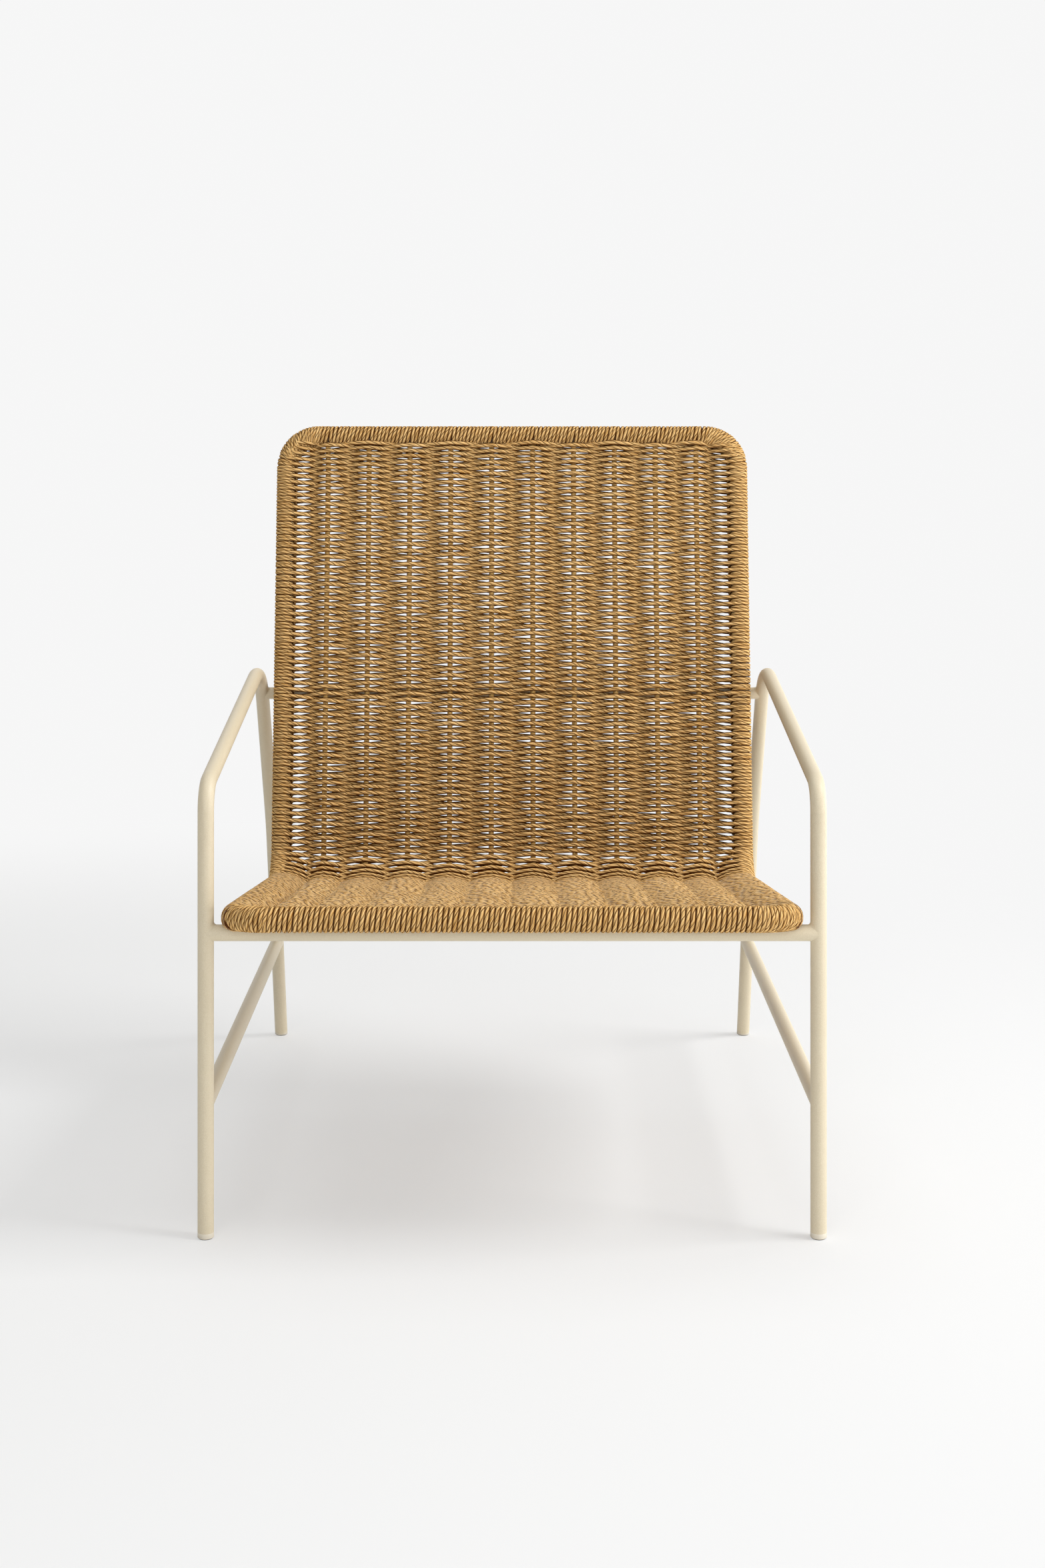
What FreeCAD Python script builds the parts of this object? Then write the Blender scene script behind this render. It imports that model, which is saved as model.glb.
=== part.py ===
import FreeCAD, Part
import math
import os

V = FreeCAD.Vector

# Driving dimensions in millimetres and degrees. +X is the viewer's right, +Y is to the rear.

# Bent steel tube
tube_od = 16.0
tube_wall = 1.5
rear_bar_od = 14.0

# Side frames in side view: front leg, rising armrest, peak, raked rear leg with a slight knee
frame_spacing = 600.0
front_corner_height = 441.0
arm_run = 454.0
arm_rise = 66.0
knee_run = 130.0
knee_height = 290.0
foot_run = 104.0
front_bend_radius = 28.0
peak_bend_radius = 82.0
knee_bend_radius = 250.0

# Bars welded to the side frames; the points of each coped tube end are trimmed flat
stretcher_height = 132.0
front_bar_height = 298.4
rear_bar_drop = 36.0
cope_trim = 2.0

# Shell: a tube loop bent to an L, tilted back, resting on both crossbars
shell_tilt = 8.0
rail_inset = 28.0
seat_overhang = 37.6
back_length = 529.0
shell_bend_radius = 38.0
splice_setback = 30.0
weld_gap = 0.2

# Cord work on the shell
cord_diameter = 4.8
cord_clearance = 0.1
bar_clearance = 0.3
stake_count = 10
stake_diameter = 6.0
stake_sides = 6
stake_clearance = 0.2
strand_parting = 10.0
rib_crest = 10.0

# Foot caps
cap_height = 6.0
cap_chamfer = 1.2
plug_length = 20.0
plug_clearance = 0.1
plug_chamfer = 1.0
floor_tolerance = 0.001

# Sizes that follow from the driving dimensions
tube_id = tube_od - 2 * tube_wall
frame_x = frame_spacing / 2
rail_x = frame_x - rail_inset
wrap_od = tube_od + 2 * cord_diameter
wrap_id = tube_od + 2 * cord_clearance
stake_pitch = 2 * rail_x / (stake_count + 1)
stake_places = [stake_pitch * (i + 1) - rail_x for i in range(stake_count)]


def line_wire(start, end):
    return Part.Wire(Part.makeLine(start, end))


def rounded_path(corners, radii):
    """Straight runs through the corners, joined by tangent arcs at the inner ones."""
    edges = []
    run_start = corners[0]
    for before, corner, after, radius in zip(corners, corners[1:], corners[2:], radii):
        incoming = (corner - before).normalize()
        outgoing = (after - corner).normalize()
        half_turn = incoming.getAngle(outgoing) / 2
        arc_start = corner - incoming * (radius * math.tan(half_turn))
        arc_end = corner + outgoing * (radius * math.tan(half_turn))
        inward = (outgoing - incoming).normalize()
        arc_middle = corner + inward * (radius / math.cos(half_turn) - radius)
        if run_start.distanceToPoint(arc_start) > Part.Precision.confusion():
            edges.append(Part.makeLine(run_start, arc_start))
        edges.append(Part.Arc(arc_start, arc_middle, arc_end).toShape())
        run_start = arc_end
    if run_start.distanceToPoint(corners[-1]) > Part.Precision.confusion():
        edges.append(Part.makeLine(run_start, corners[-1]))
    return Part.Wire(edges)


def rod(path, diameter):
    """Solid round bar along a path."""
    first = path.OrderedEdges[0]
    start = first.valueAt(first.FirstParameter)
    direction = first.tangentAt(first.FirstParameter)
    section = Part.Wire(Part.makeCircle(diameter / 2, start, direction))
    return path.makePipeShell([section], True, False)


def tube(path, outer, inner):
    return rod(path, outer).cut(rod(path, inner))


# Side frame: each one is a single tube bent in its own upright plane

peak_height = front_corner_height + arm_rise
knee_y = arm_run + knee_run
rear_foot_y = knee_y + foot_run
rear_leg_up = V(0, -foot_run, knee_height).normalize()


def side_frame_path(x):
    rear_foot = V(x, rear_foot_y, 0)
    corners = [
        V(x, 0, cap_height),
        V(x, 0, front_corner_height),
        V(x, arm_run, peak_height),
        V(x, knee_y, knee_height),
        rear_foot + rear_leg_up * cap_height,
    ]
    return rounded_path(corners, [front_bend_radius, peak_bend_radius, knee_bend_radius])


def rear_leg_y(height):
    """Place of the rear leg's centre line at a height."""
    probe = Part.makeLine(V(0, arm_run - peak_bend_radius, height), V(0, rear_foot_y, height))
    meeting = probe.distToShape(side_frame_path(0))[1][0][0]
    return meeting.y


left_frame_core = rod(side_frame_path(-frame_x), tube_od)
right_frame_core = rod(side_frame_path(frame_x), tube_od)
left_side_frame = tube(side_frame_path(-frame_x), tube_od, tube_id)
right_side_frame = tube(side_frame_path(frame_x), tube_od, tube_id)


# Feet: moulded caps with a plug in the tube, cut level where they stand

def foot(x, y, leg_up):
    tube_end = V(x, y, 0) + leg_up * cap_height
    under_floor = V(x, y, 0) - leg_up * tube_od
    cap = Part.makeCylinder(tube_od / 2, cap_height + tube_od, under_floor, leg_up)
    ground_side = 4 * tube_od
    ground = Part.makeBox(ground_side, ground_side, ground_side)
    ground.translate(V(x - ground_side / 2, y - ground_side / 2, -ground_side))
    cap = cap.cut(ground)
    floor_edges = [e for e in cap.Edges if e.BoundBox.ZMax < floor_tolerance]
    cap = cap.makeChamfer(cap_chamfer, floor_edges)
    plug_radius = tube_id / 2 - plug_clearance
    plug = Part.makeCylinder(plug_radius, plug_length - plug_chamfer, tube_end, leg_up)
    tip_base = tube_end + leg_up * (plug_length - plug_chamfer)
    tip = Part.makeCone(plug_radius, plug_radius - plug_chamfer, plug_chamfer, tip_base, leg_up)
    return cap.fuse([plug, tip]).removeSplitter()


# Bars: straight tubes with ends coped to the legs

def coped_bar(start, end, diameter):
    along = (end - start).normalize()
    path = line_wire(start + along * cope_trim, end - along * cope_trim)
    bar = tube(path, diameter, diameter - 2 * tube_wall)
    return bar.cut(left_frame_core).cut(right_frame_core)


def stretcher(x):
    front = V(x, 0, stretcher_height)
    rear = V(x, rear_leg_y(stretcher_height), stretcher_height)
    return coped_bar(front, rear, tube_od)


rear_bar_height = peak_height - rear_bar_drop
front_bar = V(0, 0, front_bar_height)
rear_bar = V(0, rear_leg_y(rear_bar_height), rear_bar_height)
to_left = V(-frame_x, 0, 0)
to_right = V(frame_x, 0, 0)
front_crossbar = coped_bar(front_bar + to_left, front_bar + to_right, tube_od)
rear_crossbar = coped_bar(rear_bar + to_left, rear_bar + to_right, rear_bar_od)


# Shell frame: the seat rails lie on the front crossbar, the back rails lean on the rear one

tilt = math.radians(shell_tilt)
seat_dir = V(0, math.cos(tilt), -math.sin(tilt))
back_dir = V(0, math.sin(tilt), math.cos(tilt))
rail_over_front_bar = front_bar + back_dir * (tube_od + weld_gap)
rail_before_rear_bar = rear_bar - seat_dir * ((tube_od + rear_bar_od) / 2 + weld_gap)
front_rail = rail_over_front_bar - seat_dir * seat_overhang
seat_length = (rail_before_rear_bar - front_rail).dot(seat_dir)
shell_corner = front_rail + seat_dir * seat_length
bend_start = seat_length - shell_bend_radius


def on_seat(x, along, above):
    """Point by its place across, distance behind the front rail and height over the seat."""
    return front_rail + V(x, 0, 0) + seat_dir * along + back_dir * above


def on_back(x, along, before):
    """Point by its place across, distance up the back and distance in front of it."""
    return shell_corner + V(x, 0, 0) + back_dir * along - seat_dir * before


splice = bend_start - splice_setback
seat_hoop_path = rounded_path(
    [
        on_seat(-rail_x, splice, 0),
        on_seat(-rail_x, 0, 0),
        on_seat(rail_x, 0, 0),
        on_seat(rail_x, splice, 0),
    ],
    [shell_bend_radius] * 2,
)
back_hoop_path = rounded_path(
    [
        on_seat(-rail_x, splice, 0),
        on_back(-rail_x, 0, 0),
        on_back(-rail_x, back_length, 0),
        on_back(rail_x, back_length, 0),
        on_back(rail_x, 0, 0),
        on_seat(rail_x, splice, 0),
    ],
    [shell_bend_radius] * 4,
)
seat_hoop = tube(seat_hoop_path, tube_od, tube_id)
back_hoop = tube(back_hoop_path, tube_od, tube_id)


# Stakes: six-sided rods bent with the shell, their ends coped to the front and top rails

front_rail_line = line_wire(on_seat(-rail_x, 0, 0), on_seat(rail_x, 0, 0))
top_rail_line = line_wire(on_back(-rail_x, back_length, 0), on_back(rail_x, back_length, 0))
front_rail_core = rod(front_rail_line, tube_od)
top_rail_core = rod(top_rail_line, tube_od)


def stake(x):
    ring = []
    for i in range(stake_sides + 1):
        turn = 2 * math.pi * i / stake_sides
        across = stake_diameter / 2 * math.cos(turn)
        up = stake_diameter / 2 * math.sin(turn)
        ring.append(on_seat(x + across, 0, up))
    corners = [on_seat(x, 0, 0), on_back(x, 0, 0), on_back(x, back_length, 0)]
    path = rounded_path(corners, [shell_bend_radius])
    bent = path.makePipeShell([Part.makePolygon(ring)], True, False)
    return bent.cut(front_rail_core).cut(top_rail_core)


# Rail wraps: cord wound close round the front and top rails and their corners

def end_rail_path(place, setback):
    """Rail between the two corners' far ends, measured from the rail's own centre line."""
    corners = [place(-rail_x, setback), place(-rail_x, 0), place(rail_x, 0), place(rail_x, setback)]
    return rounded_path(corners, [shell_bend_radius] * 2)


def front_stake_hole(x):
    """Square way through the front wrap for a stake's end."""
    half = stake_diameter / 2 + stake_clearance
    turns = [(-1, -1), (1, -1), (1, 1), (-1, 1), (-1, -1)]
    ring = [on_seat(x + half * across, 0, half * up) for across, up in turns]
    return Part.Face(Part.makePolygon(ring)).extrude(seat_dir * wrap_od)


def bay_gap(x):
    """Space between two bays of the top wrap, where a stake reaches the rail."""
    width = stake_diameter + 2 * stake_clearance
    return Part.makeCylinder(wrap_od, width, on_back(x - width / 2, back_length, 0), V(1, 0, 0))


def bar_space(bar, diameter):
    """Room that the cord leaves round a crossbar."""
    path = line_wire(bar + to_left, bar + to_right)
    return rod(path, diameter + 2 * bar_clearance)


front_bar_space = bar_space(front_bar, tube_od)
rear_bar_space = bar_space(rear_bar, rear_bar_od)

front_wrap_path = end_rail_path(lambda x, inward: on_seat(x, inward, 0), shell_bend_radius)
front_wrap_core = rod(front_wrap_path, wrap_od)
front_holes = [front_stake_hole(x) for x in stake_places]
front_rail_wrap = front_wrap_core.cut([rod(front_wrap_path, wrap_id), front_bar_space] + front_holes)

top_wrap_path = end_rail_path(lambda x, down: on_back(x, back_length - down, 0), shell_bend_radius)
top_wrap_core = rod(top_wrap_path, wrap_od)
bay_gaps = [bay_gap(x) for x in stake_places]
top_rail_wrap = top_wrap_core.cut([rod(top_wrap_path, wrap_id)] + bay_gaps)


# Weave: a web that swells over each stake, and the weft's turns round the side rails

def stake_channel(place, x):
    """Diamond between the strand before a stake and the strand behind it."""
    reach = stake_diameter / 2 + stake_clearance
    height = reach * strand_parting / math.sqrt(strand_parting ** 2 - reach ** 2)
    left = place(x - strand_parting, 0)
    right = place(x + strand_parting, 0)
    return Part.makePolygon([left, place(x, height), right, place(x, -height), left])


def weave_section(place):
    """Section of the web across the shell; place gives a point from x and height."""
    crest = stake_diameter / 2 + cord_diameter
    valley = cord_diameter / 2
    web_x = rail_x - (tube_od + cord_diameter) / 2
    ribs_x = rail_x - stake_pitch / 2
    edges = []
    for side in (1, -1):
        points = [place(-web_x, side * valley), place(-ribs_x, side * valley)]
        for x in stake_places:
            points.append(place(x - rib_crest / 2, side * crest))
            points.append(place(x + rib_crest / 2, side * crest))
            points.append(place(x + stake_pitch / 2, side * valley))
        points.append(place(web_x, side * valley))
        edges += Part.makePolygon(points).Edges
        edges.append(Part.makeLine(place(side * web_x, valley), place(side * web_x, -valley)))
    outline = Part.Wire(Part.__sortEdges__(edges))
    channels = [stake_channel(place, x) for x in stake_places]
    return Part.makeFace([outline] + channels, "Part::FaceMakerBullseye")


def rail_section(place, x):
    """Ring of cord round one side rail."""
    across_weave = (place(1, 0) - place(0, 0)).cross(place(0, 1) - place(0, 0))
    circles = [Part.makeCircle(d / 2, place(x, 0), across_weave) for d in (wrap_od, wrap_id)]
    return Part.makeFace([Part.Wire(c) for c in circles], "Part::FaceMakerBullseye")


def seat_run(section, start):
    """Section carried along the seat, from a distance behind the front rail to the bend."""
    face = section(lambda x, n: on_seat(x, start, n))
    return face.extrude(seat_dir * (bend_start - start))


def back_run(section, end):
    """Section carried through the bend and up the back to a height."""
    hinge = on_seat(0, bend_start, shell_bend_radius)
    turn = math.degrees(seat_dir.getAngle(back_dir))
    bend = section(lambda x, n: on_seat(x, bend_start, n)).revolve(hinge, V(1, 0, 0), turn)
    upright = section(lambda x, n: on_back(x, shell_bend_radius, n))
    return bend.fuse(upright.extrude(back_dir * (end - shell_bend_radius)))


def side_rail(x):
    return lambda place: rail_section(place, x)


seat_web = seat_run(weave_section, 0).cut(front_wrap_core)
seat_rings = [seat_run(side_rail(x), shell_bend_radius) for x in (-rail_x, rail_x)]
seat_weave = seat_web.fuse(seat_rings).cut([front_bar_space, rod(seat_hoop_path, wrap_id)])

back_web = back_run(weave_section, back_length).cut(top_wrap_core)
back_rings = [back_run(side_rail(x), back_length - shell_bend_radius) for x in (-rail_x, rail_x)]
back_weave = back_web.fuse(back_rings).cut([rear_bar_space, rod(back_hoop_path, wrap_id)])
back_weave = back_weave.removeSplitter()


nodes = {
    "left_side_frame": left_side_frame,
    "right_side_frame": right_side_frame,
    "left_stretcher": stretcher(-frame_x),
    "right_stretcher": stretcher(frame_x),
    "front_crossbar": front_crossbar,
    "rear_crossbar": rear_crossbar,
    "front_feet": Part.makeCompound([foot(x, 0, V(0, 0, 1)) for x in (-frame_x, frame_x)]),
    "rear_feet": Part.makeCompound([foot(x, rear_foot_y, rear_leg_up) for x in (-frame_x, frame_x)]),
    "seat_hoop": seat_hoop,
    "back_hoop": back_hoop,
    "seat_weave": seat_weave,
    "back_weave": back_weave,
    "front_rail_wrap": front_rail_wrap,
    "top_rail_wrap": top_rail_wrap,
}
for number, x in enumerate(stake_places, start=1):
    nodes[f"stake_{number:02d}"] = stake(x)

# The origin is on the floor at the middle of the chair's length
front_reach = front_rail.y - wrap_od / 2
rear_reach = rear_foot_y + tube_od / 2 / rear_leg_up.z
to_origin = V(0, -(front_reach + rear_reach) / 2, 0)

os.makedirs("parts", exist_ok=True)
for name, shape in nodes.items():
    shape.translate(to_origin)
    shape.exportStep(f"parts/{name}.step")
    print(name, len(shape.Solids), shape.isValid(), round(shape.Volume))
print("front legs stand at y", round(to_origin.y, 2))
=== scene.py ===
import math
import bpy
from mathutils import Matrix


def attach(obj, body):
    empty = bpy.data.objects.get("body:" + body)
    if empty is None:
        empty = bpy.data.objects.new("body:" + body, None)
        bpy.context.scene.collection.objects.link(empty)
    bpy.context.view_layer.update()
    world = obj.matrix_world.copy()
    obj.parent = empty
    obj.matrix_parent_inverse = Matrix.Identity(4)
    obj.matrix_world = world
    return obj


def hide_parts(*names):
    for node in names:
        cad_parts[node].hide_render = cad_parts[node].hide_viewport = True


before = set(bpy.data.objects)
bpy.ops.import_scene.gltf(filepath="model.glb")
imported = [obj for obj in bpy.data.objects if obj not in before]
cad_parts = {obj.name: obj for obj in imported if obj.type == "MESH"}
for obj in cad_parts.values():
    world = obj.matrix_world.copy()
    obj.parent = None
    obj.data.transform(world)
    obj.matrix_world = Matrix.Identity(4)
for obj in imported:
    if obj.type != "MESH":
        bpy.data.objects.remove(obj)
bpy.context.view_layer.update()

scene = bpy.context.scene


# Viewpoint
# The chair is seen level and straight from the front at about the height of its top rail, with a
# normal lens. The frame is moved down, not tilted, so that the legs stay upright.
scene.view_settings.view_transform = "Standard"
camera_data = bpy.data.cameras.new("viewpoint")
camera_data.sensor_width = 36.0
camera_data.lens = 49.26
camera_data.shift_x = 0.0066
camera_data.shift_y = -0.2368
camera = bpy.data.objects.new("viewpoint", camera_data)
camera.location = (0.0, -2.42436, 0.8074)
camera.rotation_euler = (math.radians(90.0), 0.0, 0.0)
scene.collection.objects.link(camera)
scene.camera = camera


# Side frames, stretchers, crossbars and hoops
# Steel tubes, bent or straight and 16 mm thick but for the thinner rear crossbar, coped and welded,
# then powder-coated as one piece in satin ivory with a fine orange-peel grain.
class Wire:
    """One socket of a node tree: sums on it add Math nodes, and add() brings in any other node."""

    def __init__(self, tree, socket=None):
        self.tree = tree
        self.socket = socket

    def add(self, kind, settings=None, sockets=None):
        node = self.tree.nodes.new(kind)
        for name, value in (settings or {}).items():
            setattr(node, name, value)
        for key, value in (sockets or {}).items():
            if isinstance(key, int):
                socket = node.inputs[key]
            else:
                socket = next(each for each in node.inputs if each.name == key and each.enabled)
            if isinstance(value, Wire):
                self.tree.links.new(value.socket, socket)
            else:
                socket.default_value = value
        shown = [each for each in node.outputs if each.enabled]
        return Wire(self.tree, shown[0] if shown else None)

    def out(self, name):
        return Wire(self.tree, self.socket.node.outputs[name])

    def math(self, operation, *others):
        values = dict(enumerate((self, *others)))
        return self.add("ShaderNodeMath", {"operation": operation}, values)

    def __add__(self, other):
        return self.math("ADD", other)

    __radd__ = __add__

    def __sub__(self, other):
        return self.math("SUBTRACT", other)

    def __rsub__(self, other):
        return self.add("ShaderNodeMath", {"operation": "SUBTRACT"}, {0: other, 1: self})

    def __mul__(self, other):
        return self.math("MULTIPLY", other)

    __rmul__ = __mul__

    def __truediv__(self, other):
        return self.math("DIVIDE", other)

    def __mod__(self, other):
        return self.math("FLOORED_MODULO", other)

    def __pow__(self, other):
        return self.math("POWER", other)


def finish_material(name):
    """A new material, with its shader node and a wire into its tree."""
    material = bpy.data.materials.new(name)
    material.use_nodes = True
    shader = material.node_tree.nodes["Principled BSDF"]
    return material, shader, Wire(material.node_tree)


def mottle(wire, spot, scale=1.0, detail=1.0, roughness=0.5):
    """Cloudy noise at a spot, from 0 to 1."""
    sockets = {"Vector": spot, "Scale": scale, "Detail": detail, "Roughness": roughness}
    return wire.add("ShaderNodeTexNoise", None, sockets)


def fade(wire, value, start, end, low=0.0, high=1.0, ease="LINEAR"):
    """A number that goes from low to high while a value goes from start to end."""
    sockets = {"Value": value, "From Min": start, "From Max": end, "To Min": low, "To Max": high}
    return wire.add("ShaderNodeMapRange", {"interpolation_type": ease}, sockets)


def two_tone(wire, share, first, second):
    """A colour between two others."""
    sockets = {"Factor": share, "A": first, "B": second}
    return wire.add("ShaderNodeMix", {"data_type": "RGBA"}, sockets)


def lay_finish(wire, shader, tone, roughness, height, strength, depth):
    """Lead a colour, a roughness and the relief of a height into a shader."""
    sockets = {"Strength": strength, "Distance": depth, "Height": height}
    relief = wire.add("ShaderNodeBump", None, sockets)
    for name, source in (("Base Color", tone), ("Roughness", roughness), ("Normal", relief)):
        wire.tree.links.new(source.socket, shader.inputs[name])


def paint(nodes, material):
    """Give a material to nodes of the CAD model."""
    for node in nodes:
        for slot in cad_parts[node].material_slots:
            slot.material = material


coat_deep = (0.63, 0.54, 0.375, 1.0)
coat_pale = (0.73, 0.65, 0.49, 1.0)
ivory_coat, coat_shader, wire = finish_material("ivory_powder_coat")
place = wire.add("ShaderNodeTexCoord").out("Object")
grain = mottle(wire, place, scale=1100.0, detail=3.0, roughness=0.6)
cloud = mottle(wire, place, scale=14.0, detail=4.0)
speck = fade(wire, grain, 0.35, 0.7)
tone = two_tone(wire, 0.65 * speck + 0.35 * cloud, coat_deep, coat_pale)
lay_finish(wire, coat_shader, tone, 0.36 + 0.14 * cloud, grain, strength=0.35, depth=0.0004)
coated_nodes = [
    "left_side_frame", "right_side_frame", "left_stretcher", "right_stretcher",
    "front_crossbar", "rear_crossbar", "seat_hoop", "back_hoop",
]
paint(coated_nodes, ivory_coat)


# Feet
# Moulded plastic caps pushed on the open ends of the legs, a whiter cream than the coat and matt,
# patchily darker near the floor, with a painted contact shadow along the edge that stands on it.
cap_cream = (0.76, 0.70, 0.585, 1.0)
cap_low_tone = (0.50, 0.44, 0.34, 1.0)
cap_shadow_tone = (0.06, 0.058, 0.05, 1.0)
low_tone_height = 0.006
contact_shadow_height = 0.0014
solid_contact_shadow_height = 0.0006
contact_shadow_uneven = 0.0006
cap_plastic, cap_shader, wire = finish_material("cream_cap_plastic")
place = wire.add("ShaderNodeTexCoord").out("Object")
height = wire.add("ShaderNodeSeparateXYZ", None, {"Vector": place}).out("Z")
mould = mottle(wire, place, scale=700.0, detail=2.0)
smear = mottle(wire, place, scale=90.0, detail=5.0)
# Patchily darker in the few millimetres next to the floor
low_tone = fade(wire, height, low_tone_height, 0.0)
# Painted contact shadow: the bottom edge goes near black, a little unevenly
edge = height + contact_shadow_uneven * smear
painted_contact_shadow = fade(wire, edge, contact_shadow_height, solid_contact_shadow_height, ease="SMOOTHSTEP")
tone = two_tone(wire, low_tone * smear, cap_cream, cap_low_tone)
tone = two_tone(wire, painted_contact_shadow, tone, cap_shadow_tone)
lay_finish(wire, cap_shader, tone, 0.5 + 0.2 * smear, mould, strength=0.2, depth=0.0003)
paint(["front_feet", "rear_feet"], cap_plastic)


# Stakes
# Ten slim rods of hard-twisted cord, which run from the front rail through the bend and up to the
# top rail. At the top they come forward and are tucked in between the bays of the wrap.
stake_count = 10
half_width = 0.272
stake_pitch = 2.0 * half_width / (stake_count + 1)
top_point = (0.0, 0.17779, 0.77839)
corner_point = (0.0, 0.10417, 0.25453)
front_point = (0.0, -0.35934, 0.31968)
shell_route = [top_point, corner_point, front_point]
bend_radius = 0.038
path_length = 0.98075
forward_at_top = 0.0125
forward_reach = 0.045


def node_tree(name, sizes):
    """An empty Geometry Nodes tree: a path comes in with one named input for each size."""
    tree = bpy.data.node_groups.new(name, "GeometryNodeTree")
    tree.interface.new_socket("Geometry", in_out="OUTPUT", socket_type="NodeSocketGeometry")
    tree.interface.new_socket("Path", in_out="INPUT", socket_type="NodeSocketGeometry")
    kinds = {int: "NodeSocketInt", float: "NodeSocketFloat", tuple: "NodeSocketVector"}
    for label, value in sizes.items():
        socket = tree.interface.new_socket(label, in_out="INPUT", socket_type=kinds[type(value)])
        socket.default_value = value
    start = tree.nodes.new("NodeGroupInput")
    return Wire(tree), {each.name: Wire(tree, each) for each in start.outputs if each.name}


def close_tree(wire, geometry, material):
    """End a tree in Realize Instances and Set Material."""
    smooth = wire.add("GeometryNodeSetShadeSmooth", None, {"Geometry": geometry})
    real = wire.add("GeometryNodeRealizeInstances", None, {"Geometry": smooth})
    dressed = wire.add("GeometryNodeSetMaterial", None, {"Geometry": real, "Material": material})
    end = wire.tree.nodes.new("NodeGroupOutput")
    wire.tree.links.new(dressed.socket, end.inputs["Geometry"])


def grown(name, wire, route, values):
    """Run a tree on a route from point to point, and keep the result as a plain mesh."""
    path = bpy.data.meshes.new(name + "_path")
    path.from_pydata(route, [(i, i + 1) for i in range(len(route) - 1)], [])
    maker = bpy.data.objects.new(name + "_path", path)
    scene.collection.objects.link(maker)
    modifier = maker.modifiers.new("grow", "NODES")
    modifier.node_group = wire.tree
    for item in wire.tree.interface.items_tree:
        if item.in_out == "INPUT" and item.name in values:
            modifier[item.identifier] = values[item.name]
    finished = maker.evaluated_get(bpy.context.evaluated_depsgraph_get())
    mesh = bpy.data.meshes.new_from_object(finished)
    mesh.name = name
    bpy.data.objects.remove(maker)
    piece = bpy.data.objects.new(name, mesh)
    scene.collection.objects.link(piece)
    return piece


def vector(wire, operation, *values):
    """A Vector Math node."""
    return wire.add("ShaderNodeVectorMath", {"operation": operation}, dict(enumerate(values)))


def scaled(wire, direction, amount):
    """A vector times a number."""
    sockets = {"Vector": direction, "Scale": amount}
    return wire.add("ShaderNodeVectorMath", {"operation": "SCALE"}, sockets)


def spot_at(wire, x=0.0, y=0.0, z=0.0):
    """A vector from three numbers."""
    return wire.add("ShaderNodeCombineXYZ", None, {"X": x, "Y": y, "Z": z})


def stored(wire, geometry, kind, name, value):
    """A geometry that keeps a value under a name, for later nodes and the material."""
    sockets = {"Geometry": geometry, "Name": name, "Value": value}
    return wire.add("GeometryNodeStoreNamedAttribute", {"data_type": kind}, sockets)


def cord_tube(wire, count, strand_line, radius, sides, beside):
    """A tube of cord through so many points of a strand's line. It keeps the place along it, the
    place round it and how far each spot faces the strands beside it."""
    line = wire.add("GeometryNodeCurvePrimitiveLine", None, {"End": (1.0, 0.0, 0.0)})
    line = wire.add("GeometryNodeResampleCurve", None, {"Curve": line, "Count": count})
    laid = {"Geometry": line, "Position": strand_line}
    curve = wire.add("GeometryNodeSetPosition", None, laid)
    span = wire.add("GeometryNodeSplineParameter").out("Length")
    curve = stored(wire, curve, "FLOAT", "along", span)
    curve = stored(wire, curve, "FLOAT_VECTOR", "beside", beside)
    ring = wire.add("GeometryNodeCurvePrimitiveCircle", None, {"Resolution": sides, "Radius": 1.0})
    ring = stored(wire, ring, "FLOAT_VECTOR", "round", wire.add("GeometryNodeInputPosition"))
    swept = {"Curve": curve, "Profile Curve": ring, "Scale": radius, "Fill Caps": True}
    tube = wire.add("GeometryNodeCurveToMesh", None, swept)
    vectors = {"data_type": "FLOAT_VECTOR"}
    # The nook value is what the cord material turns into painted shade between strands
    kept = wire.add("GeometryNodeInputNamedAttribute", vectors, {"Name": "beside"})
    facing = vector(wire, "DOT_PRODUCT", wire.add("GeometryNodeInputNormal"), kept)
    return stored(wire, tube, "FLOAT", "nook", facing.math("ABSOLUTE"))


def sampled(wire, path, distance):
    """The place on a path at a distance along it, with the direction there."""
    sockets = {"Curves": path, "Length": distance}
    sample = wire.add("GeometryNodeSampleCurve", {"mode": "LENGTH"}, sockets)
    return sample.out("Position"), sample.out("Tangent")


def shell_place(wire, path, distance, across, proud):
    """A point of the shell, so far down the path, so far across and so far out towards the sitter,
    and the direction down the path there."""
    middle, down = sampled(wire, path, distance)
    outward = vector(wire, "CROSS_PRODUCT", down, (1.0, 0.0, 0.0))
    raised = vector(wire, "ADD", middle, scaled(wire, outward, proud))
    return vector(wire, "ADD", raised, spot_at(wire, across)), down


def filleted(wire, path, radius):
    """The runs of a path joined by round bends."""
    bend_steps = 24
    curve = wire.add("GeometryNodeMeshToCurve", None, {"Mesh": path})
    sockets = {"Curve": curve, "Count": bend_steps, "Radius": radius}
    return wire.add("GeometryNodeFilletCurve", {"mode": "POLY"}, sockets)


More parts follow.
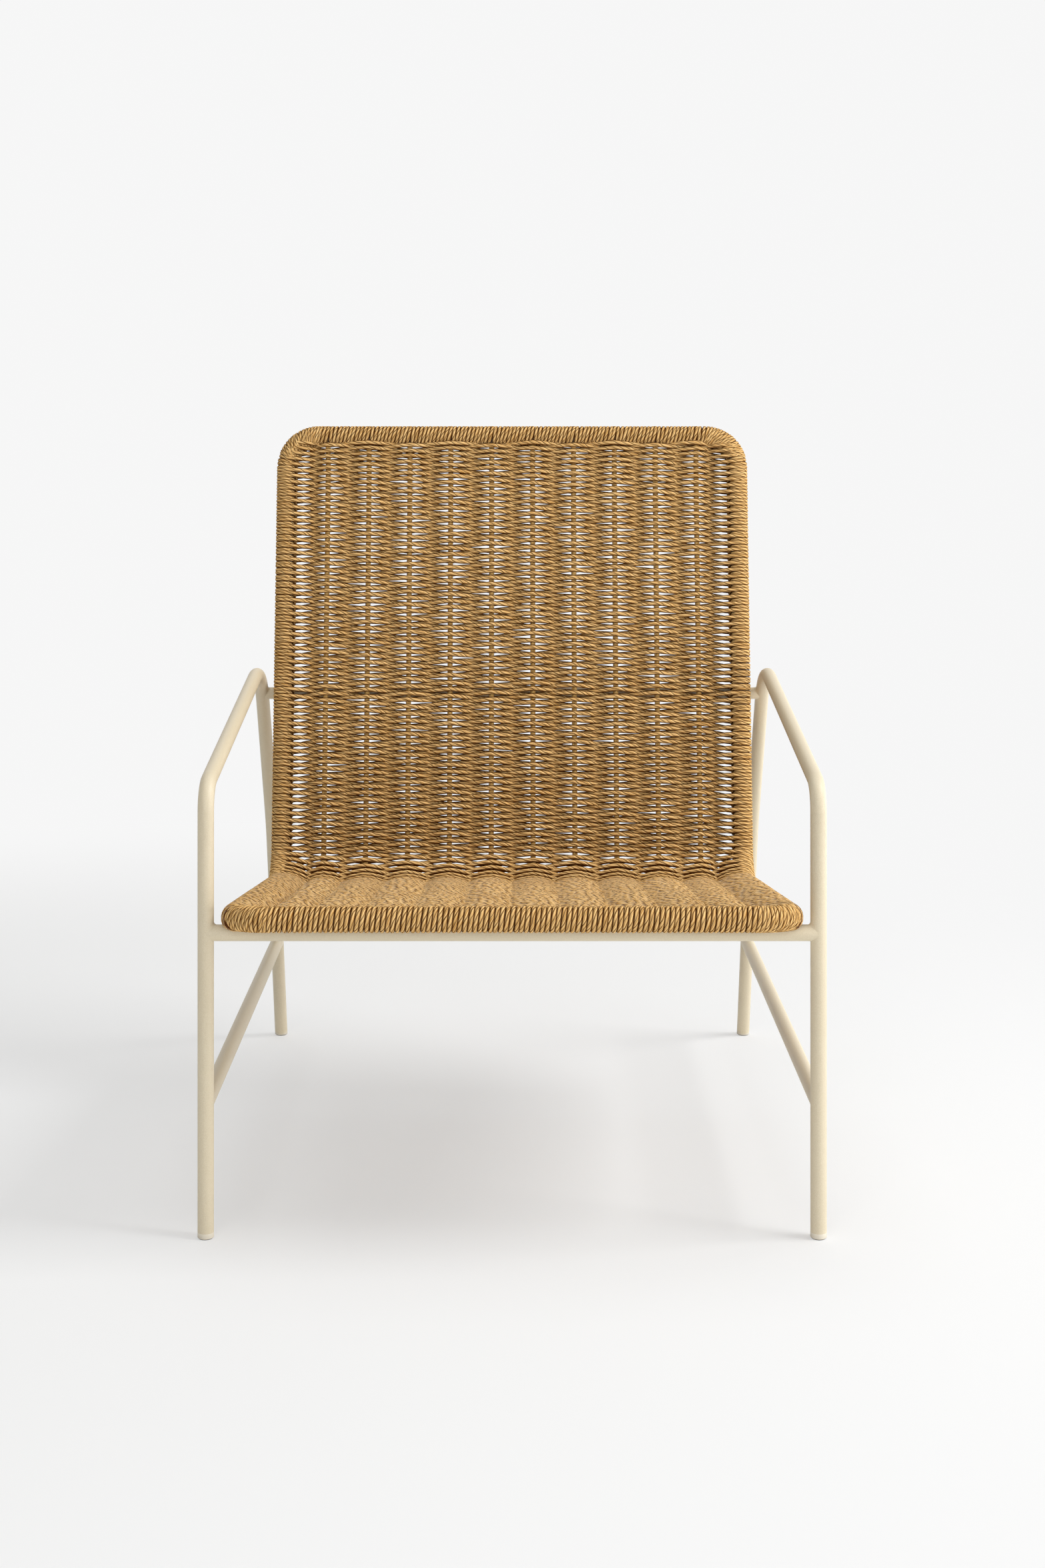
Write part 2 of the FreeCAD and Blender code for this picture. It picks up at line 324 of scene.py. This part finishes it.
def cord_material(name, plies, lay, groove_shade, dark, pale, fuzz):
    """Twisted cord: plies and fibres wind round the tube, once in the length of a lay, and the
    colour drifts along it. groove_shade is the strength of the painted shade in the lines between
    plies, and fuzz is the sheen of loose fibres."""
    material, shader, wire = finish_material(name)
    turn = wire.add("ShaderNodeAttribute", {"attribute_name": "round"}).out("Vector")
    turn = wire.add("ShaderNodeSeparateXYZ", None, {"Vector": turn})
    angle = turn.out("Y").math("ARCTAN2", turn.out("X"))
    along = wire.add("ShaderNodeAttribute", {"attribute_name": "along"}).out("Fac")
    nook = wire.add("ShaderNodeAttribute", {"attribute_name": "nook"}).out("Fac")

    # The twist is uneven: loose from one centimetre to the next, and slipped from strand to strand
    loose = mottle(wire, spot_at(wire, along * 70.0, 5.0))
    slip = mottle(wire, spot_at(wire, along * 2.2, 9.0))
    twist = angle - (2.0 * math.pi / lay) * along + 2.4 * loose + 30.0 * slip
    fibre_width = 4.5
    fibre_x = fibre_width * twist.math("COSINE")
    fibre_y = fibre_width * twist.math("SINE")
    fibre_spot = spot_at(wire, fibre_x, fibre_y, 130.0 * along)
    fibre = mottle(wire, fibre_spot, detail=3.0, roughness=0.65)
    crest = (0.5 * plies * twist).math("COSINE").math("ABSOLUTE")
    ragged_crest = crest + 0.5 * (fibre - 0.5)
    valley = fade(wire, ragged_crest, 0.08, 0.55, low=1.0, high=0.0, ease="SMOOTHSTEP")
    crease = (1.5 * plies * twist + 5.0 * fibre).math("SINE")

    # The colour drifts along the strand and from fibre to fibre. Valleys between the plies, and
    # sides that face the next strand, go to a deep brown: painted shade where the cord lies in
    # shadow.
    shade_share = (0.22, 0.13, 0.05)
    shade = (*[share * part for share, part in zip(shade_share, dark)], 1.0)
    strand = mottle(wire, spot_at(wire, along * 9.0), detail=2.0)
    blend = fade(wire, 0.35 * strand + 0.65 * fibre + 0.09 * crease, 0.25, 0.62)
    tone = two_tone(wire, blend, dark, pale)
    # Painted shade in the grooves between plies
    tone = two_tone(wire, groove_shade * valley, tone, shade)
    # Painted shade on the sides that face the next strand
    nook_shade = fade(wire, nook, 0.36, 0.96, ease="SMOOTHSTEP")
    tone = two_tone(wire, nook_shade, tone, shade)
    height = crest + 0.5 * fibre + 0.08 * crease
    lay_finish(wire, shader, tone, 0.55 + 0.2 * valley, height, strength=1.0, depth=0.001)
    shader.inputs["Specular IOR Level"].default_value = 0.0
    shader.inputs["Sheen Weight"].default_value = fuzz
    shader.inputs["Sheen Roughness"].default_value = 0.4
    return material


stake_dark = (0.54, 0.29, 0.075, 1.0)
stake_pale = (0.78, 0.49, 0.18, 1.0)
stake_cord = cord_material(
    "stake_cord", plies=2, lay=0.05, groove_shade=0.3, dark=stake_dark, pale=stake_pale, fuzz=0.0)
wire, size = node_tree("stake_rods", {
    "Stakes": stake_count, "Stake Pitch": stake_pitch, "Stake Radius": 0.0031,
    "Bend Radius": bend_radius, "Top End": 0.0105, "Front End": 0.972,
    "Forward At Top": forward_at_top, "Forward Reach": forward_reach, "Steps": 150, "Sides": 10,
})
path = filleted(wire, size["Path"], size["Bend Radius"])
share = wire.add("GeometryNodeSplineParameter")
distance = size["Top End"] + (size["Front End"] - size["Top End"]) * share
near_top = (1.0 - distance / size["Forward Reach"]).math("MAXIMUM", 0.0)
forward = size["Forward At Top"] * near_top * near_top
rod_line, _ = shell_place(wire, path, distance, 0.0, forward)
no_neighbour = (0.0, 0.0, 0.0)
rod = cord_tube(
    wire, size["Steps"], rod_line, size["Stake Radius"], size["Sides"], no_neighbour)
number = wire.add("GeometryNodeInputIndex")
across = (number - 0.5 * (size["Stakes"] - 1.0)) * size["Stake Pitch"]
row = {"Count": size["Stakes"], "Position": spot_at(wire, across)}
spots = wire.add("GeometryNodePoints", None, row)
rods = wire.add("GeometryNodeInstanceOnPoints", None, {"Points": spots, "Instance": rod})
close_tree(wire, rods, stake_cord)
stakes = grown("stakes", wire, shell_route, {})
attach(stakes, "root")
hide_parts(*["stake_%02d" % (i + 1) for i in range(stake_count)])


# Weft of the back and seat
# Twisted paper cord: one strand, woven over one stake and under the next and turned round the side
# rails, in four pieces that join behind a rail. The seat's cord is worn fuzzy.
cord_dark = (0.45, 0.185, 0.014, 1.0)
cord_pale = (0.97, 0.655, 0.29, 1.0)
cord_make = {"plies": 4, "lay": 0.036, "groove_shade": 0.85, "dark": cord_dark, "pale": cord_pale}
paper_cord = cord_material("paper_cord", fuzz=0.0, **cord_make)
worn_cord = cord_material("worn_paper_cord", fuzz=0.25, **cord_make)
turn_steps = 10
row_sizes = {
    "Margin": 0.0098, "Spacing": 0.00405, "Squeeze": 0.0126, "Squeeze Strands": 12.0,
    "Half Width": half_width, "Corner Radius": bend_radius, "Rail Radius": 0.0105,
    "Rear Bar": 0.3083, "Front Bar": 0.9432, "Bar Room": 0.0095,
}


def row_place(size, number):
    """The distance of a strand down the path and the room it has: rows are closer at the top."""
    settle = (number / size["Squeeze Strands"] * -1.0).math("EXPONENT")
    distance = size["Margin"] + size["Spacing"] * number - size["Squeeze"] * (1.0 - settle)
    room = size["Spacing"] - size["Squeeze"] / size["Squeeze Strands"] * settle
    return distance, room


def rail_place(size, distance):
    """Half the width between the rails, and how far a turn round the rail points out and on."""
    top_half = (0.5 * path_length - distance).math("SIGN")
    from_end = distance.math("MINIMUM", path_length - distance).math("MAXIMUM", 0.0)
    short = (size["Corner Radius"] - from_end).math("MAXIMUM", 0.0)
    reach = (size["Corner Radius"] ** 2.0 - short ** 2.0).math("SQRT")
    outward = reach / size["Corner Radius"]
    onward = short / size["Corner Radius"] * top_half * -1.0
    return size["Half Width"] - size["Corner Radius"] + reach, outward, onward


def behind_rail(size, proud):
    """1 where a turn lies well behind its rail, and 0 beside and before it."""
    return (proud * -1.5 / size["Rail Radius"]).math("MINIMUM", 1.0).math("MAXIMUM", 0.0)


def clear_of_bars(size, level, close):
    """Turns on the far side of a rail part above and below the crossbar that is welded there."""
    for bar in ("Rear Bar", "Front Bar"):
        off = level - size[bar]
        room = size["Bar Room"] * close
        level = size[bar] + off.math("SIGN") * (off * off + room * room).math("SQRT")
    return level


wire, size = node_tree("plain_weave", {
    **row_sizes,
    "First Strand": 0, "Strands": 68, "Lead": 0,
    "Bays": stake_count + 1, "Bay Steps": 9, "Turn Steps": turn_steps, "Sides": 8,
    "Stake Pitch": stake_pitch, "Stake Depth": 0.0046, "Flatter At Top": 0.4,
    "Cord Radius": 0.00286, "Pinch": 0.16, "Peak": 1.3, "Late Crossing": 1.8,
    "Jitter": 0.0036, "Jitter Bays": 0.9, "Jitter Rows": 0.63, "Seed": 4.0,
    "Wander": 0.006, "Wander Across": 4.0, "Wander Down": 5.0, "Calm Ends": 0.06,
    "Rail Drop": 0.0085, "Most Drop": 0.0032,
    "Forward At Top": forward_at_top, "Forward Reach": forward_reach,
})
path = filleted(wire, size["Path"], bend_radius)

# Each point knows its strand, the bay it is in and its turn round the rail at the strand's end
run_steps = size["Bays"] * size["Bay Steps"]
strand_steps = run_steps + size["Turn Steps"]
count = size["Strands"] * strand_steps + 1.0 + size["Lead"] - size["Turn Steps"]
index = wire.add("GeometryNodeInputIndex") - size["Lead"]
number = size["First Strand"] + (index / strand_steps).math("FLOOR")
step = index % strand_steps
bay = (step / size["Bay Steps"]).math("MINIMUM", size["Bays"])
turn = (step - run_steps).math("MAXIMUM", 0.0) / size["Turn Steps"] * math.pi
side = 1.0 - 2.0 * (number % 2.0)
distance, room = row_place(size, number)
to_rail = bay.math("MINIMUM", size["Bays"] - bay)
inner = to_rail.math("MINIMUM", 1.0)

# In and out past the stakes: two strands meet at each one, with a pointed gap between the pairs
late = inner ** size["Late Crossing"] - inner
phase = bay + late * (0.5 * size["Bays"] - bay).math("SIGN")
wave = (phase * math.pi).math("COSINE")
slope = 2.0 * (phase % 2.0 - 1.0).math("ABSOLUTE") - 1.0
zigzag = slope.math("SIGN") * slope.math("ABSOLUTE") ** size["Peak"]

# Across the shell, which is narrower at its rounded corners
half_rail, outward, onward = rail_place(size, distance)
lost = size["Half Width"] - half_rail
before = lost * (1.0 - bay).math("MAXIMUM", 0.0)
after = lost * (bay - size["Bays"] + 1.0).math("MAXIMUM", 0.0)
run = bay * size["Stake Pitch"] - size["Half Width"] + before - after
round_rail = size["Rail Radius"] * turn.math("SINE")
across = side * (run + round_rail * outward)

# Towards the sitter
near_top = (1.0 - distance / size["Forward Reach"]).math("MAXIMUM", 0.0)
depth = size["Stake Depth"] * (1.0 - size["Flatter At Top"] * near_top)
swing = size["Rail Radius"] + (depth - size["Rail Radius"]) * inner * inner * (3.0 - 2.0 * inner)
proud = wave * swing + size["Rail Radius"] * (1.0 - turn.math("COSINE"))
behind = behind_rail(size, proud)
close = (1.0 - 3.0 * to_rail).math("MAXIMUM", 0.0) * behind
proud = proud + size["Forward At Top"] * near_top * near_top * inner

# Down the path, uneven as weaving by hand is
hand_x = across / size["Stake Pitch"] * size["Jitter Bays"]
hand = mottle(wire, spot_at(wire, hand_x, number * size["Jitter Rows"], size["Seed"]))
drift_x = across * size["Wander Across"]
drift = mottle(wire, spot_at(wire, drift_x, distance * size["Wander Down"], size["Seed"]))
from_end = distance.math("MINIMUM", path_length - distance)
calm = (from_end / size["Calm Ends"]).math("MINIMUM", 1.0)
drop = (size["Rail Drop"] * distance).math("MINIMUM", size["Most Drop"])
level = distance - zigzag * 0.5 * room + round_rail * onward
level = level + (hand - 0.5) * size["Jitter"] * inner + (drift - 0.5) * size["Wander"] * calm
level = level + drop * behind * (1.0 - inner)
level = clear_of_bars(size, level, close)
strand_line, beside = shell_place(wire, path, level, across, proud)
slack = 1.0 - wave.math("ABSOLUTE") * inner
thick = size["Cord Radius"] * (1.0 - size["Pinch"] * slack * slack)
weft = cord_tube(wire, count, strand_line, thick, size["Sides"], beside)
close_tree(wire, weft, paper_cord)
weft_parts = [
    ("back_weft_upper", 68, "back_weave"),
    ("back_weft_lower", 68, "back_weave"),
    ("seat_weft_rear", 51, "seat_weave"),
    ("seat_weft_front", 52, "seat_weave"),
]
first = 0
for name, strands, node in weft_parts:
    lead = turn_steps if first else 0
    values = {"First Strand": first, "Strands": strands, "Lead": lead}
    part = grown(name, wire, shell_route, values)
    part.data.materials[0] = worn_cord if node == "seat_weave" else paper_cord
    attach(part, "root")
    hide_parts(node)
    first += strands


# Rail binding
# A second length of the same cord is wound round each side rail between the turns of the weft, so
# that the tube is covered all the way. It steps from turn to turn on the inner side of the rail.
wire, size = node_tree("rail_binding", {
    **row_sizes, "Side": 1.0, "First Turn": 0.5, "Turns": 119, "Turn Steps": 16, "Step From": 0.86,
    "Sides": 8, "Cord Radius": 0.0023,
})
path = filleted(wire, size["Path"], bend_radius)
wound = wire.add("GeometryNodeInputIndex") / size["Turn Steps"]
whole = wound.math("FLOOR")
part_turn = wound - whole
stepping = fade(wire, part_turn, size["Step From"], 1.0)
distance, _ = row_place(size, 2.0 * (whole + stepping) + size["First Turn"])
half_rail, outward, onward = rail_place(size, distance)
turn = math.pi + 2.0 * math.pi * part_turn
radial = size["Rail Radius"] * turn.math("COSINE")
proud = size["Rail Radius"] * turn.math("SINE")
level = clear_of_bars(size, distance + radial * onward, behind_rail(size, proud))
across = size["Side"] * (half_rail + radial * outward)
strand_line, beside = shell_place(wire, path, level, across, proud)
count = size["Turns"] * size["Turn Steps"]
binding = cord_tube(wire, count, strand_line, size["Cord Radius"], size["Sides"], beside)
close_tree(wire, binding, paper_cord)
for name, side, first in (("left_rail_binding", -1.0, 0.5), ("right_rail_binding", 1.0, 1.5)):
    binding = grown(name, wire, shell_route, {"Side": side, "First Turn": first})
    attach(binding, "root")
    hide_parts("back_weave", "seat_weave")


# Top and front rail wraps
# The same cord wound close round the top and front rails and half way round their corners. On the
# top rail it is wound in bays, which part a little where each stake comes up.
wire, size = node_tree("rail_wrap", {
    "Facing": (0.0, 0.0, 1.0), "Corner Radius": bend_radius, "Straight": half_width - bend_radius,
    "Core Radius": 0.0104, "Cord Radius": 0.0026, "Sides": 8,
    "Turns": 122, "Turn Steps": 20, "Corner Closeness": 0.7,
    "Bay": stake_pitch, "Bay Turns": 10.0, "Bay Gap": 0.0006,
    "Lean": 0.002, "Lean Turn": math.pi, "Nook": 1.2,
    "Jitter": 0.002, "Jitter Turns": 1.7, "Seed": 3.0,
})
path = filleted(wire, size["Path"], size["Corner Radius"])
whole_path = wire.add("GeometryNodeCurveLength", None, {"Curve": path})
wound = wire.add("GeometryNodeInputIndex") / size["Turn Steps"] - 0.5 * size["Turns"]
bays = wound / size["Bay Turns"] + 0.5
bay = bays.math("FLOOR")
in_bay = bays - bay - 0.5
along = size["Bay"] * bay + (size["Bay"] - size["Bay Gap"]) * in_bay
in_corner = (along.math("ABSOLUTE") - size["Straight"]).math("MAXIMUM", 0.0)
along = along - along.math("SIGN") * in_corner * (1.0 - size["Corner Closeness"])
turn = 2.0 * math.pi * wound
hand = mottle(wire, spot_at(wire, wound * size["Jitter Turns"], size["Seed"]))

# The turns lean over one another, upright at first and fully after a quarter of a bay
lean = size["Lean"] * (4.0 * in_bay + 2.0).math("MINIMUM", 1.0)
distance = 0.5 * whole_path + along
distance = distance + lean * (turn - size["Lean Turn"]).math("COSINE")
distance = distance + size["Jitter"] * (hand - 0.5)
middle, onward = sampled(wire, path, distance)
out_of_plane = scaled(wire, size["Facing"], size["Core Radius"] * turn.math("SINE"))
sideways = vector(wire, "CROSS_PRODUCT", onward, size["Facing"])
in_plane = scaled(wire, sideways, size["Core Radius"] * turn.math("COSINE"))
strand_line = vector(wire, "ADD", middle, vector(wire, "ADD", out_of_plane, in_plane))
# Nook widens the painted shade on the sides of each turn that face the next turns
beside = scaled(wire, onward, size["Nook"])
count = size["Turns"] * size["Turn Steps"]
turns = cord_tube(wire, count, strand_line, size["Cord Radius"], size["Sides"], beside)
close_tree(wire, turns, paper_cord)
tilt = math.radians(8.0)
seat_run = (math.cos(tilt), -math.sin(tilt))
back_run = (math.sin(tilt), math.cos(tilt))
corner_leg = 0.04


def rail_route(middle, run):
    """The route of an end rail: back along one side rail, across, and back along the other."""
    rail = middle[1:]
    away = (middle[1] + corner_leg * run[0], middle[2] + corner_leg * run[1])
    return [(-half_width, *away), (-half_width, *rail), (half_width, *rail), (half_width, *away)]


top_wrap = grown("top_wrap", wire, rail_route(top_point, (-back_run[0], -back_run[1])), {
    "Facing": (0.0, -seat_run[0], -seat_run[1]), "Turns": 134, "Bay Turns": 11.0})
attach(top_wrap, "root")
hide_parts("top_rail_wrap")
front_wrap = grown("front_wrap", wire, rail_route(front_point, seat_run), {
    "Facing": (0.0, back_run[0], back_run[1]), "Bay Gap": 0.0,
    "Lean": 0.0004, "Lean Turn": 0.5 * math.pi, "Nook": 1.02})
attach(front_wrap, "root")
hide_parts("front_rail_wrap")


# Weld fillets
# A small hollow fillet of weld where each bar end meets a leg, under the same coat. It follows the
# saddle line between the two tubes, full in the crotch above, thinner below and thin at the sides.
wire, size = node_tree("weld_fillet", {
    "Leg Axis": (0.0, 0.0, 1.0), "Bar Radius": 0.008, "Leg Radius": 0.008,
    "Fillet": 0.0036, "Lower Share": 0.35, "Sunk": 0.0003, "Steps": 48, "Hollow Steps": 6,
})


def off_axis(wire, direction, axis):
    """The part of a vector that is square to an axis."""
    along_axis = scaled(wire, axis, vector(wire, "DOT_PRODUCT", direction, axis))
    return vector(wire, "SUBTRACT", direction, along_axis)


path = wire.add("GeometryNodeMeshToCurve", None, {"Mesh": size["Path"]})
joint = wire.add("GeometryNodeSampleCurve", {"mode": "FACTOR"}, {"Curves": path, "Factor": 0.0})
axis = joint.out("Tangent")
rows = size["Steps"] + 1.0
columns = size["Hollow Steps"] + 3.0
sheet = wire.add("GeometryNodeMeshGrid", None, {"Vertices X": rows, "Vertices Y": columns})
index = wire.add("GeometryNodeInputIndex")
turn = (index / columns).math("FLOOR") / size["Steps"] * (2.0 * math.pi) + 0.5 * math.pi
column = index % columns

# Where the bar's skin meets the leg's, in each direction round the bar
level_side = vector(wire, "NORMALIZE", vector(wire, "CROSS_PRODUCT", axis, size["Leg Axis"]))
upper_side = vector(wire, "CROSS_PRODUCT", level_side, axis)
off_bar = vector(
    wire, "ADD",
    scaled(wire, level_side, turn.math("COSINE")),
    scaled(wire, upper_side, turn.math("SINE")),
)
around = scaled(wire, off_bar, size["Bar Radius"])
flat_axis = off_axis(wire, axis, size["Leg Axis"])
flat_around = off_axis(wire, around, size["Leg Axis"])
square = vector(wire, "DOT_PRODUCT", flat_axis, flat_axis)
cross = vector(wire, "DOT_PRODUCT", flat_axis, flat_around)
rest = vector(wire, "DOT_PRODUCT", flat_around, flat_around) - size["Leg Radius"] ** 2.0
reach = ((cross * cross - square * rest).math("MAXIMUM", 0.0).math("SQRT") - cross) / square
from_leg = vector(wire, "ADD", scaled(wire, axis, reach), around)
saddle = vector(wire, "ADD", joint.out("Position"), from_leg)

# The fillet's section: a hollow from bar to leg, and a root sunk under both skins
off_leg = vector(wire, "NORMALIZE", off_axis(wire, from_leg, size["Leg Axis"]))
up_leg = vector(wire, "NORMALIZE", off_axis(wire, off_bar, off_leg))
upper = 0.5 + 0.5 * turn.math("SINE")
fullness = size["Lower Share"] + (1.0 - size["Lower Share"]) * upper
width = size["Fillet"] * reach / size["Leg Radius"] * fullness
sunk = size["Sunk"] * -1.0
bar_edge = vector(wire, "ADD", scaled(wire, axis, width), scaled(wire, off_bar, sunk))
leg_edge = vector(wire, "ADD", scaled(wire, up_leg, width), scaled(wire, off_leg, sunk))
root = vector(wire, "ADD", scaled(wire, off_bar, sunk), scaled(wire, off_leg, sunk))
share = (column % (size["Hollow Steps"] + 2.0) / size["Hollow Steps"]).math("MINIMUM", 1.0)
hollow = vector(
    wire, "ADD",
    scaled(wire, bar_edge, (1.0 - share) * (1.0 - share)),
    scaled(wire, leg_edge, share * share),
)
at_root = column.math("COMPARE", size["Hollow Steps"] + 1.0, 0.5)
section = {"Factor": at_root, "A": hollow, "B": root}
offset = wire.add("ShaderNodeMix", {"data_type": "VECTOR"}, section)
bent = {"Geometry": sheet.out("Mesh"), "Position": vector(wire, "ADD", saddle, offset)}
sheet = wire.add("GeometryNodeSetPosition", None, bent)
sheet = wire.add("GeometryNodeMergeByDistance", None, {"Geometry": sheet, "Distance": 1e-6})
close_tree(wire, sheet, ivory_coat)
joints = [
    ("front_bar_weld", (0.3, -0.32436, 0.2984), (-1.0, 0.0, 0.0), (0.0, 0.0, 1.0), 0.008),
    ("rear_bar_weld", (0.3, 0.14994, 0.471), (-1.0, 0.0, 0.0), (0.0, -0.633, 0.774), 0.007),
    ("front_stretcher_weld", (0.3, -0.32436, 0.132), (0.0, 1.0, 0.0), (0.0, 0.0, 1.0), 0.008),
    ("rear_stretcher_weld", (0.3, 0.3163, 0.132), (0.0, -1.0, 0.0), (0.0, -0.3376, 0.9413), 0.008),
]
bar_stub = 0.1
for side_name, mirror in (("left", -1.0), ("right", 1.0)):
    for name, (x, y, z), toward, leg_axis, bar_radius in joints:
        start = (mirror * x, y, z)
        stop = (start[0] + mirror * bar_stub * toward[0], y + bar_stub * toward[1], z)
        values = {"Leg Axis": leg_axis, "Bar Radius": bar_radius}
        weld = grown(side_name + "_" + name, wire, [start, stop], values)
        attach(weld, "root")


# Studio floor and light
# A pale paper sweep that rises behind the chair, one strong soft lamp high on the right, and weaker
# ones overhead, low on the right and in front. The floor keeps the chair's soft shadow.
sweep_tone = (0.855, 0.86, 0.86, 1.0)
sweep_white = (0.925, 0.925, 0.925, 1.0)
shadow_middle = (-0.45, -0.1, 0.0)
floor_front = -4.0
floor_rear = 2.6
cove_radius = 1.6
cove_steps = 16
wall_top = 5.0
sweep_half_width = 5.0


def seen_plain(wire):
    """1 for what the camera sees straight, mirrored or through glass, and 0 for other light."""
    rays = wire.add("ShaderNodeLightPath")
    mirrored = rays.math("MAXIMUM", rays.out("Is Glossy Ray"))
    return mirrored.math("MAXIMUM", rays.out("Is Transmission Ray"))


sweep_paper, paper_shader, wire = finish_material("pale_sweep")
paper_shader.inputs["Base Color"].default_value = sweep_tone
paper_shader.inputs["Roughness"].default_value = 0.95
glow = wire.add("ShaderNodeEmission", None, {"Color": sweep_white, "Strength": 1.0})
spot = wire.add("ShaderNodeTexCoord").out("Object")
from_chair = vector(wire, "DISTANCE", spot, shadow_middle)
far = fade(wire, from_chair, 0.75, 1.9, low=0.45, high=1.0, ease="SMOOTHSTEP")
lit = Wire(wire.tree, paper_shader.outputs[0])
mixed = wire.add("ShaderNodeMixShader", None, {0: far * seen_plain(wire), 1: lit, 2: glow})
wire.tree.links.new(mixed.socket, wire.tree.nodes["Material Output"].inputs["Surface"])
profile = [(floor_front, 0.0), (floor_rear, 0.0)]
for i in range(1, cove_steps + 1):
    lift = 0.5 * math.pi * i / cove_steps
    rise = cove_radius - cove_radius * math.cos(lift)
    profile.append((floor_rear + cove_radius * math.sin(lift), rise))
profile.append((floor_rear + cove_radius, wall_top))
sweep_points = [(x, y, z) for y, z in profile for x in (-sweep_half_width, sweep_half_width)]
sweep_faces = [(2 * i, 2 * i + 1, 2 * i + 3, 2 * i + 2) for i in range(len(profile) - 1)]
sweep_mesh = bpy.data.meshes.new("studio_sweep")
sweep_mesh.from_pydata(sweep_points, [], sweep_faces)
sweep_mesh.polygons.foreach_set("use_smooth", [True] * len(sweep_faces))
sweep_mesh.materials.append(sweep_paper)
sweep = bpy.data.objects.new("studio_sweep", sweep_mesh)
scene.collection.objects.link(sweep)

sky_warm = (1.0, 0.985, 0.96, 1.0)
sky_white = (0.92, 0.92, 0.92, 1.0)
world = bpy.data.worlds.new("studio")
world.use_nodes = True
wire = Wire(world.node_tree)
ambient = wire.add("ShaderNodeBackground", None, {"Color": sky_warm, "Strength": 0.27})
white = wire.add("ShaderNodeBackground", None, {"Color": sky_white, "Strength": 1.0})
sky = wire.add("ShaderNodeMixShader", None, {0: seen_plain(wire), 1: ambient, 2: white})
wire.tree.links.new(sky.socket, world.node_tree.nodes["World Output"].inputs["Surface"])
scene.world = world

lamps = [
    ("high_softbox", (3.2, -0.7, 3.6), (0.0, 0.0, 0.4), 1.8, 126.0),
    ("overhead_softbox", (-0.3, 0.0, 4.2), (0.0, 0.0, 0.4), 3.0, 40.0),
    ("side_softbox", (2.2, -1.3, 0.6), (0.0, 0.0, 0.25), 1.2, 17.0),
    ("low_softbox", (2.3, 0.8, 0.45), (-0.2, 0.2, 0.2), 0.9, 13.0),
    ("front_softbox", (-0.5, -3.6, 1.4), (0.0, 0.0, 0.4), 2.4, 35.0),
]
for name, place, target, width, power in lamps:
    lamp_data = bpy.data.lights.new(name, "AREA")
    lamp_data.shape = "SQUARE"
    lamp_data.size = width
    lamp_data.energy = power
    lamp = bpy.data.objects.new(name, lamp_data)
    aim = [t - p for t, p in zip(target, place)]
    level_reach = math.hypot(aim[0], aim[1])
    lamp.location = place
    lamp.rotation_euler = (math.atan2(level_reach, -aim[2]), 0.0, math.atan2(-aim[0], aim[1]))
    scene.collection.objects.link(lamp)
